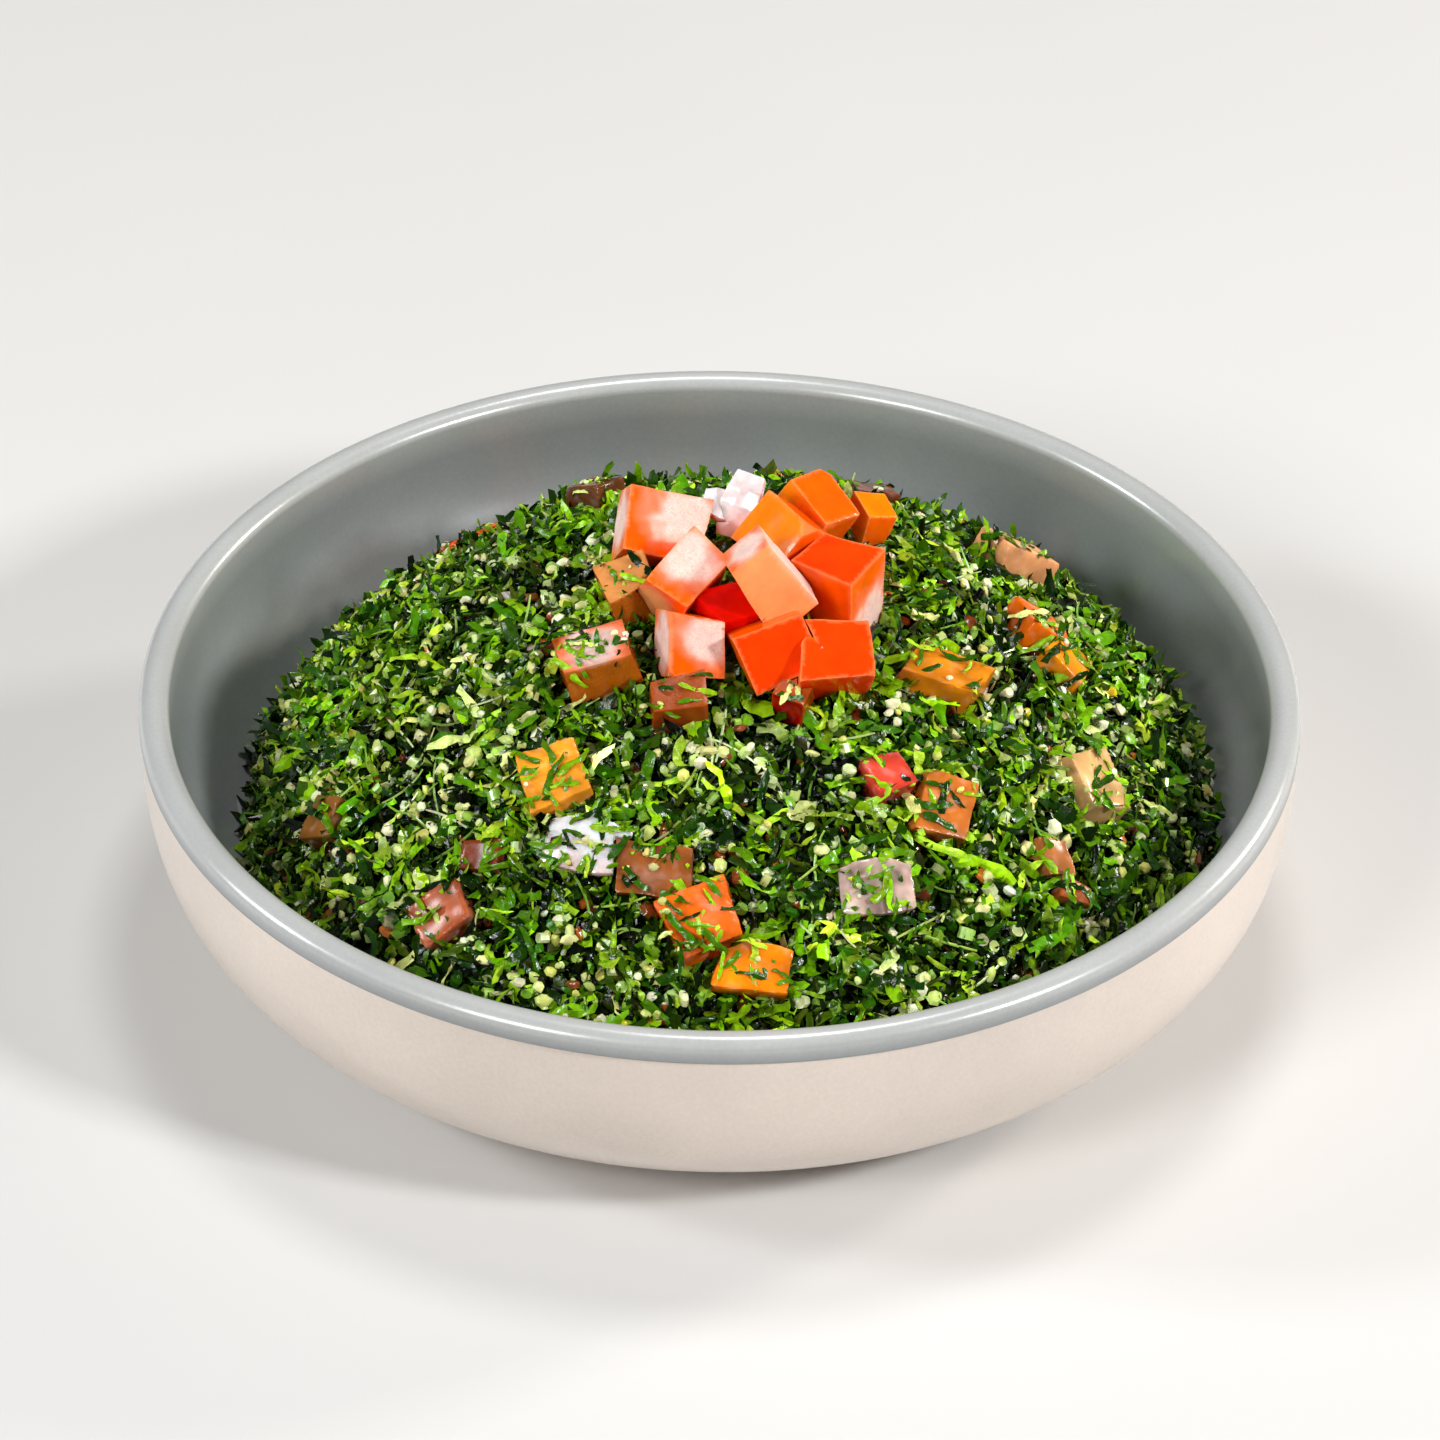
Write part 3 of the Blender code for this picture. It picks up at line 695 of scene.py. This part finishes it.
BITS = paints((112, 44, 14), (140, 70, 24), (190, 100, 34), (84, 34, 12), (214, 196, 184), (176, 156, 140),
              (232, 206, 30))
bit_shapes = []
for number in range(7):
    select_nothing()
    bpy.ops.mesh.primitive_cube_add(size=2.4 * MM)
    bpy.ops.object.mode_set(mode="EDIT")
    bpy.ops.mesh.select_all(action="SELECT")
    bpy.ops.mesh.bevel(offset=0.45 * MM, segments=1)
    bpy.ops.transform.resize(value=(luck.uniform(0.8, 1.5), luck.uniform(0.6, 1.0), luck.uniform(0.3, 0.6)))
    bpy.ops.object.mode_set(mode="OBJECT")
    push = Vector(luck.uniform(-9, 9, 3))
    for corner in bpy.context.object.data.vertices:
        corner.co *= 1 + 0.35 * noise.noise(corner.co / (1.3 * MM) + push)
    bend("Z", luck.uniform(-0.8, 0.8))
    bit_shapes.append(take_shape())
jelly = tinted("vegetable_scraps", 0.22, 700.0, 0.35, 0.5, 0.3 * MM, Subsurface_Weight=0.3,
               Subsurface_Scale=1.5 * MM, Coat_Weight=0.6, Coat_Roughness=0.08)
spots, ways = salad_spots(460)
depth = luck.uniform(-1.0, 0.2, (len(spots), 1))
sizes = luck.uniform(0.4, 1.25, (len(spots), 1)) * luck.uniform(0.85, 1.15, (len(spots), 3))
bits = joined("vegetable_bits", bit_shapes, spots + ways * depth * MM, lying(ways, 0.5), sizes,
              pick(BITS, (5, 5, 3, 5, 2, 2, 1), len(spots)))
finish(bits, jelly)


# ---------------------------------------------------------------- diced tomato and onion
# Firm tomato cut by hand into cubes of about a centimetre, with skin on one side and paler, grainy
# flesh on the cut faces, and thin curved slips of onion. Each is one piece, wet with its own juice.

RED_SKIN, ORANGE_SKIN, AMBER, DEEP_RED, BROWN_RED, PEACH, PINK, PALE, ONION = paints(
    (253, 66, 2), (254, 98, 2), (248, 132, 4), (206, 10, 2), (158, 70, 16), (252, 162, 92), (251, 128, 84),
    (248, 214, 202), (240, 226, 226))
# For each flat side of a piece: the way it looks, its colour and how pulpy it is, and after these,
# where its pale heart lies off the middle of the side, the step to it.
FACES = {
    "tomato_pile_01": [((0.2, -0.95, 0.25), PEACH, 0.2), ((-0.58, 0.05, 0.81), PALE, 1),
                       ((0.7, -0.2, 0.5), PALE, 0.5)],
    "tomato_pile_02": [((0, 0, 1), RED_SKIN, 0), ((-0.62, -0.78, -0.07), ORANGE_SKIN, 0),
                       ((0.87, -0.48, -0.02), PALE, 1, 0.1, 0.1, -0.3)],
    "tomato_pile_03": [((0.09, -0.87, 0.48), RED_SKIN, 0), ((-0.34, 0.41, 0.84), ORANGE_SKIN, 0)],
    "tomato_pile_04": [((0.17, -0.53, 0.83), RED_SKIN, 0), ((0.2, -0.8, -0.57), RED_SKIN, 0)],
    # The left side of pile_05 is painted PALE, paler than its pink flesh, as painted light for the shade it
    # lies in.
    "tomato_pile_05": [((0.18, -0.79, 0.58), PALE, 1, 0.2, 0, 0.25), ((-0.96, -0.24, 0.16), PALE, 1),
                       ((0.18, 0.55, 0.82), ORANGE_SKIN, 0)],
    "tomato_pile_06": [((0.09, -0.54, 0.84), PALE, 1, 0, 0.1, 0.1), ((0.77, -0.45, -0.44), ORANGE_SKIN, 0),
                       ((-0.53, -0.78, -0.33), PEACH, 1, -0.2, 0, 0)],
    "tomato_pile_07": [((0.27, -0.66, 0.7), PALE, 1, 0.3, 0, 0.25), ((-0.97, -0.06, 0.23), PALE, 1),
                       ((-0.12, -0.79, -0.6), ORANGE_SKIN, 0)],
    "tomato_pile_08": [((-0.61, -0.41, 0.68), AMBER, 0), ((0.7, -0.7, -0.1), ORANGE_SKIN, 0)],
    "tomato_pile_09": [((0.51, -0.14, 0.85), ORANGE_SKIN, 0), ((-0.57, -0.6, 0.5), AMBER, 0)],
    "tomato_pile_10": [((-0.23, -0.11, 0.97), PALE * 0.8, 1), ((0.17, -0.97, -0.15), AMBER * 0.5, 0.3)],
    "tomato_pile_11": [((-0.33, -0.2, 0.92), PEACH * (0.75, 0.8, 0.7), 0.5),
                       ((0.35, -0.94, 0), AMBER * 0.45, 0.3)],
    "tomato_pile_12": [((0, 0, 1), DEEP_RED, 0), ((-0.3, -0.9, 0.2), DEEP_RED, 0)],
    "tomato_pile_13": [((0.45, -0.05, 0.89), AMBER, 0), ((-0.86, -0.47, 0.19), AMBER, 0)],
    "tomato_pile_14": [((0, 0, 1), BROWN_RED, 0.2), ((-0.46, -0.86, -0.23), DEEP_RED * 0.6, 0)],
    "tomato_pile_15": [((0, 0, 1), BROWN_RED, 0.4)],
}
SUNK = dict(zip((f"tomato_sunk_{n:02d}" for n in range(1, 25)), paints(
    (248, 158, 40), (228, 138, 22), (248, 172, 116), (238, 112, 12), (248, 150, 14), (232, 104, 16),
    (242, 130, 8), (206, 64, 46), (200, 112, 40), (220, 172, 110), (168, 84, 46), (124, 78, 24),
    (152, 84, 34), (190, 116, 60), (150, 74, 28), (104, 58, 26), (116, 48, 20), (246, 110, 16),
    (190, 90, 30), (116, 56, 24), (236, 84, 8), (240, 124, 24), (246, 112, 16), (236, 134, 16))))

flesh, tree, links, shader = new_material("wet_tomato", 0.2, Subsurface_Weight=0.25,
                                          Subsurface_Scale=1.8 * MM, Specular_IOR_Level=0.2)
shader.inputs["Subsurface Radius"].default_value = (1.0, 0.5, 0.2)
where = tree.new("ShaderNodeTexCoord").outputs["Object"]
tint = tree.new("ShaderNodeVertexColor")
tint.layer_name = "tint"
cloudy = add_mottle(flesh, tint.outputs["Color"], where, 260.0, 0.14)
pulp_mask = tree.new("ShaderNodeAttribute")
pulp_mask.attribute_name = "pulp"
fibres = tree.new("ShaderNodeTexNoise")
fibres.inputs["Scale"].default_value = 1100.0
fibres.inputs["Detail"].default_value = 2.0
fibres.inputs["Distortion"].default_value = 2.2
links.new(where, fibres.inputs["Vector"])
off_line = tree.new("ShaderNodeMath")
off_line.operation = "COMPARE"
off_line.inputs[1].default_value = 0.5
off_line.inputs[2].default_value = 0.035
links.new(fibres.outputs["Fac"], off_line.inputs[0])
share = tree.new("ShaderNodeMath")
share.operation = "MULTIPLY"
links.new(off_line.outputs["Value"], share.inputs[0])
links.new(pulp_mask.outputs["Fac"], share.inputs[1])
veined = tree.new("ShaderNodeMath")
veined.operation = "MULTIPLY"
veined.inputs[1].default_value = 0.4
links.new(share.outputs["Value"], veined.inputs[0])
redden = tree.new("ShaderNodeMix")
redden.data_type = "RGBA"
redden.inputs["B"].default_value = (0.80, 0.30, 0.20, 1)
links.new(veined.outputs["Value"], redden.inputs["Factor"])
links.new(cloudy.outputs["Color"], redden.inputs["A"])
links.new(redden.outputs["Result"], shader.inputs["Base Color"])
rough = tree.new("ShaderNodeMath")
rough.operation = "MULTIPLY_ADD"
rough.inputs[1].default_value = 0.3
rough.inputs[2].default_value = 0.17
links.new(pulp_mask.outputs["Fac"], rough.inputs[0])
links.new(rough.outputs["Value"], shader.inputs["Roughness"])
add_bump(flesh, shader, share.outputs["Value"], -0.4, 0.15 * MM)

slip = tinted("wet_onion", 0.2, 300.0, 0.22, 0.25, 0.2 * MM, Subsurface_Weight=0.6,
              Subsurface_Scale=3.0 * MM, Coat_Weight=0.6, Coat_Roughness=0.07)


def flat_sides(mesh):
    """The large flat sides of a diced piece: the way each looks, and how far out it lies that way."""
    found = []
    for face in sorted(mesh.polygons, key=lambda f: -f.area):
        if all(face.normal.dot(way) < 0.9 for way, _ in found) and len(found) < 7 and face.area > 6e-6:
            found.append((face.normal.copy(), face.center.dot(face.normal)))
    return found


low_in_pile = [f"tomato_pile_{number}" for number in (10, 11, 14, 15)]
for name in dice_names:
    piece = nodes[name].copy()
    piece.data = nodes[name].data.copy()
    piece.name = name.replace("tomato", "diced_tomato").replace("onion_", "onion_slip_")
    piece.animation_data_clear()
    bpy.context.collection.objects.link(piece)
    select_nothing()
    piece.select_set(True)
    bpy.context.view_layer.objects.active = piece
    piece.data.materials.clear()
    bpy.ops.object.mode_set(mode="EDIT")
    bpy.ops.mesh.select_all(action="SELECT")
    bpy.ops.mesh.remove_doubles(threshold=1e-6)
    bpy.ops.object.mode_set(mode="OBJECT")
    if name.startswith("tomato"):       # the knife leaves crisp edges: close the roundings of the CAD up
        sides = flat_sides(piece.data)
        for _ in range(3):
            for corner in piece.data.vertices:
                for way, reach in sides:
                    if 0 < reach - corner.co.dot(way) < 0.7 * MM:
                        corner.co += way * (reach - corner.co.dot(way))
        bpy.ops.object.mode_set(mode="EDIT")
        bpy.ops.mesh.select_all(action="SELECT")
        bpy.ops.mesh.remove_doubles(threshold=0.05 * MM)
        bpy.ops.object.mode_set(mode="OBJECT")
    even = piece.modifiers.new("even", "REMESH")
    even.mode = "SHARP"
    even.octree_depth = 5
    even.use_remove_disconnected = False
    bpy.ops.object.modifier_apply(modifier=even.name)
    soften = piece.modifiers.new("soften", "SMOOTH")
    soften.iterations = 1 if "pile" in name else 5
    soften.factor = 0.25 if "pile" in name else 0.5
    bpy.ops.object.modifier_apply(modifier=soften.name)
    bpy.ops.object.shade_smooth_by_angle(angle=math.radians(40))
    mesh = piece.data
    places = corners_of(mesh)
    ways = np.empty(len(mesh.vertices) * 3, dtype=np.float32)
    mesh.vertex_normals.foreach_get("vector", ways)
    ways = ways.reshape(-1, 3).astype(float)
    bulge = np.array([noise.noise(Vector(p) / (4.5 * MM)) for p in places])
    ragged = np.array([noise.noise(Vector(p) / (1.4 * MM)) for p in places])
    if name.startswith("onion"):
        low = np.clip(1.1 - 2 * (places[:, 2] - places[:, 2].min()) / np.ptp(places[:, 2]), 0, 1)[:, None]
        tints, pulp_share = ONION * (1 - 0.6 * low) + PINK * 0.6 * low, np.zeros(len(places))
        if name == "onion_sunk_01":     # this one has drunk up the juice of the tomato
            tints = ONION * (0.62, 0.5, 0.42) * np.maximum(1 + 0.9 * bulge + 0.5 * ragged, 0.1)[:, None]
        places += ways * ((0.05 + 0.25 * bulge + 0.06 * ragged) * MM)[:, None]
        material, slot = slip, "onion"
    else:
        piled = "pile" in name
        flat_ways = np.array([tuple(way) for way, _ in flat_sides(nodes[name].data)])
        faces = FACES.get(name) or [(flat_ways[flat_ways[:, 2].argmax()], SUNK[name], 0.1)]
        aligned = (ways @ flat_ways.T).max(axis=1)
        # Painted highlight: the edges between the flat sides are painted lighter, as the glint on wet cut
        # edges.
        edge_glint = np.clip((0.94 - aligned) / 0.1, 0, 1)[:, None]
        skin = BROWN_RED if name in low_in_pile else DEEP_RED if name.endswith("12") else ORANGE_SKIN
        skin = skin if piled else faces[0][1] * 0.8
        held = np.zeros((len(places), 1))
        tints, pulp_share = np.zeros((len(places), 3)), np.zeros(len(places))
        for way, face_tint, pulp, *heart_at in faces:
            way = np.array(way) / np.linalg.norm(way)
            belongs = np.clip((ways @ way - 0.5) / 0.35, 0, 1)[:, None]
            side = places[ways @ way > (ways @ way).max() - 0.07]
            reach = np.percentile(np.linalg.norm(side - side.mean(axis=0), axis=1), 92)
            off = places - side.mean(axis=0) - np.array(heart_at or (0, 0, 0)) * reach * 2
            off -= (off @ way)[:, None] * way
            out = np.linalg.norm(off, axis=1) / reach
            heart = np.clip(1.7 - 1.25 * out + 0.25 * ragged + 0.6 * bulge, 0, 1)[:, None]
            heart = heart if pulp > 0.5 else np.ones((len(places), 1))
            edge = PINK if pulp > 0.5 else skin
            painted = skin + (edge - skin) * np.clip(2 * heart, 0, 1)
            painted += (face_tint - edge) * np.clip(2 * heart - 1, 0, 1)
            tints += belongs * painted
            held += belongs
            pulp_share += (belongs * heart)[:, 0] * pulp
        tints = tints / np.maximum(held, 1) + skin * (1 - np.minimum(held, 1))
        if not piled:                   # soaked in the dressing: darker here, paler there
            tints = tints * (1 + 0.6 * bulge[:, None]) + 0.16 * np.clip(ragged - 0.1, 0, 1)[:, None]
        # Painted highlight: a lighter tint along the edges, for the glint on them.
        edge_glint_tint = np.array([0.98, 0.42, 0.16]) if skin is ORANGE_SKIN else tints * 1.3
        tints = tints + (edge_glint_tint - tints) * edge_glint * (0.35 if piled else 0.1)
        grow = 0.12 if piled else 0.0
        uneven = 0.2 if piled else 0.45
        places += ways * ((grow + uneven * bulge + 0.1 * ragged * pulp_share) * MM)[:, None]
        material, slot = flesh, "tomato"
    mesh.vertices.foreach_set("co", places.ravel().astype(np.float32))
    colors = mesh.color_attributes.new("tint", "FLOAT_COLOR", "POINT")
    colors.data.foreach_set("color", np.column_stack([tints, np.ones(len(tints))]).ravel().astype(np.float32))
    write_mask(mesh, "pulp", pulp_share)
    mesh.update()
    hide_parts(name)
    finish(piece, material)


# ---------------------------------------------------------------- what clings to the diced pieces
# The pieces were tossed with the salad, so those bedded in it carry shreds, crumbs and grains that
# stick to their wet tops, and so do the lowest of the pile. The pieces on the crown are clean.

topped = [name for name in dice_names if "sunk" in name or name in low_in_pile]
tops = np.array([triangle for triangle, owner in zip(dice_triangles, dice_owner) if owner in topped])
top_corners = np.array([tuple(corner) for corner in dice_corners])
for name, shapes, count, palette, shares, material, height in (
        ("shreds_on_dice", long_shreds, 380, LEAVES, (8, 22, 30, 24, 10, 4), leaf, 0.25),
        ("crumbs_on_dice", crumb_shapes, 300, LEAVES, (8, 22, 30, 24, 12, 6), leaf, 0.25),
        ("grains_on_dice", grain_shapes, 70, WHEAT, (4, 4, 2, 2), wheat, 0.3)):
    spots, ways = spots_on(top_corners, tops, count, 0.35)
    sizes = luck.uniform(0.35, 0.8, (count, 1)) * luck.uniform(0.8, 1.2, (count, 3))
    tints = pick(palette, shares, count, 0.2)
    clinging = joined(name, shapes, spots + ways * height * MM, lying(ways, 0.14), sizes, tints)
    finish(clinging, material)


# ---------------------------------------------------------------- floor, light and camera
# A plain pale table in a dim pale room. One light hangs over the bowl and a wide one stands in
# front; a window at the left, one at the right and a warm lamp behind it glint in the glaze.

select_nothing()
bpy.ops.mesh.primitive_circle_add(vertices=96, radius=3.0, fill_type="NGON", location=(0, 0, 0))
floor = bpy.context.object
floor.name = "pale_table"
table, tree, links, shader = new_material("pale_table", 0.7)
where = tree.new("ShaderNodeTexCoord").outputs["Object"]
plain = add_mottle(table, (0.68, 0.67, 0.655), where, 6.0, 0.015)
links.new(plain.outputs["Color"], shader.inputs["Base Color"])
floor.data.materials.append(table)

for name, place, power, size, color in (
        ("ceiling_light", (0.10, 0.35, 1.25), 5.2, 0.30, (1.0, 0.99, 0.97)),
        ("left_window", (-1.19, 0.0, 0.65), 8.0, 0.25, (0.90, 0.96, 1.0)),
        ("right_lamp", (1.10, 0.50, 0.52), 8.0, 0.20, (1.0, 0.93, 0.84)),
        ("right_window", (0.946, -0.546, 0.80), 12.0, 0.18, (0.97, 0.98, 1.0)),
        ("front_light", (-0.80, -1.00, 0.95), 11.5, 0.45, (1.0, 0.98, 0.96))):
    bpy.ops.object.light_add(type="AREA", location=place)
    lamp = bpy.context.object
    lamp.name = name
    lamp.data.energy = power
    lamp.data.size = size
    lamp.data.color = color
    lamp.rotation_euler = (Vector((0, 0, 0.03)) - Vector(place)).to_track_quat("-Z", "Y").to_euler()

world = bpy.data.worlds.new("pale_room")
bpy.context.scene.world = world
world.use_nodes = True
world.node_tree.nodes["Background"].inputs["Color"].default_value = (0.97, 0.98, 1.0, 1)
world.node_tree.nodes["Background"].inputs["Strength"].default_value = 0.06
bpy.context.scene.view_settings.view_transform = "Standard"

CAMERA_PITCH, CAMERA_ROLL = math.radians(35.681), 0.014
CAMERA_DISTANCE, RIM_HEIGHT = 1.19385, 0.040
bpy.ops.object.camera_add()
camera = bpy.context.object
camera.name = "camera"
look = Vector((0, math.cos(CAMERA_PITCH), -math.sin(CAMERA_PITCH)))
upward = Vector((0, math.sin(CAMERA_PITCH), math.cos(CAMERA_PITCH)))
right = Vector((1, 0, 0))
right, upward = (right * math.cos(CAMERA_ROLL) + upward * math.sin(CAMERA_ROLL),
                 upward * math.cos(CAMERA_ROLL) - right * math.sin(CAMERA_ROLL))
eye = Vector((0, 0, RIM_HEIGHT)) - look * CAMERA_DISTANCE
camera.matrix_world = Matrix(((right.x, upward.x, -look.x, eye.x), (right.y, upward.y, -look.y, eye.y),
                              (right.z, upward.z, -look.z, eye.z), (0, 0, 0, 1)))
camera.data.sensor_width = 36
camera.data.lens = 191.71
camera.data.shift_y = -0.0194
camera.data.clip_end = 20
bpy.context.scene.camera = camera
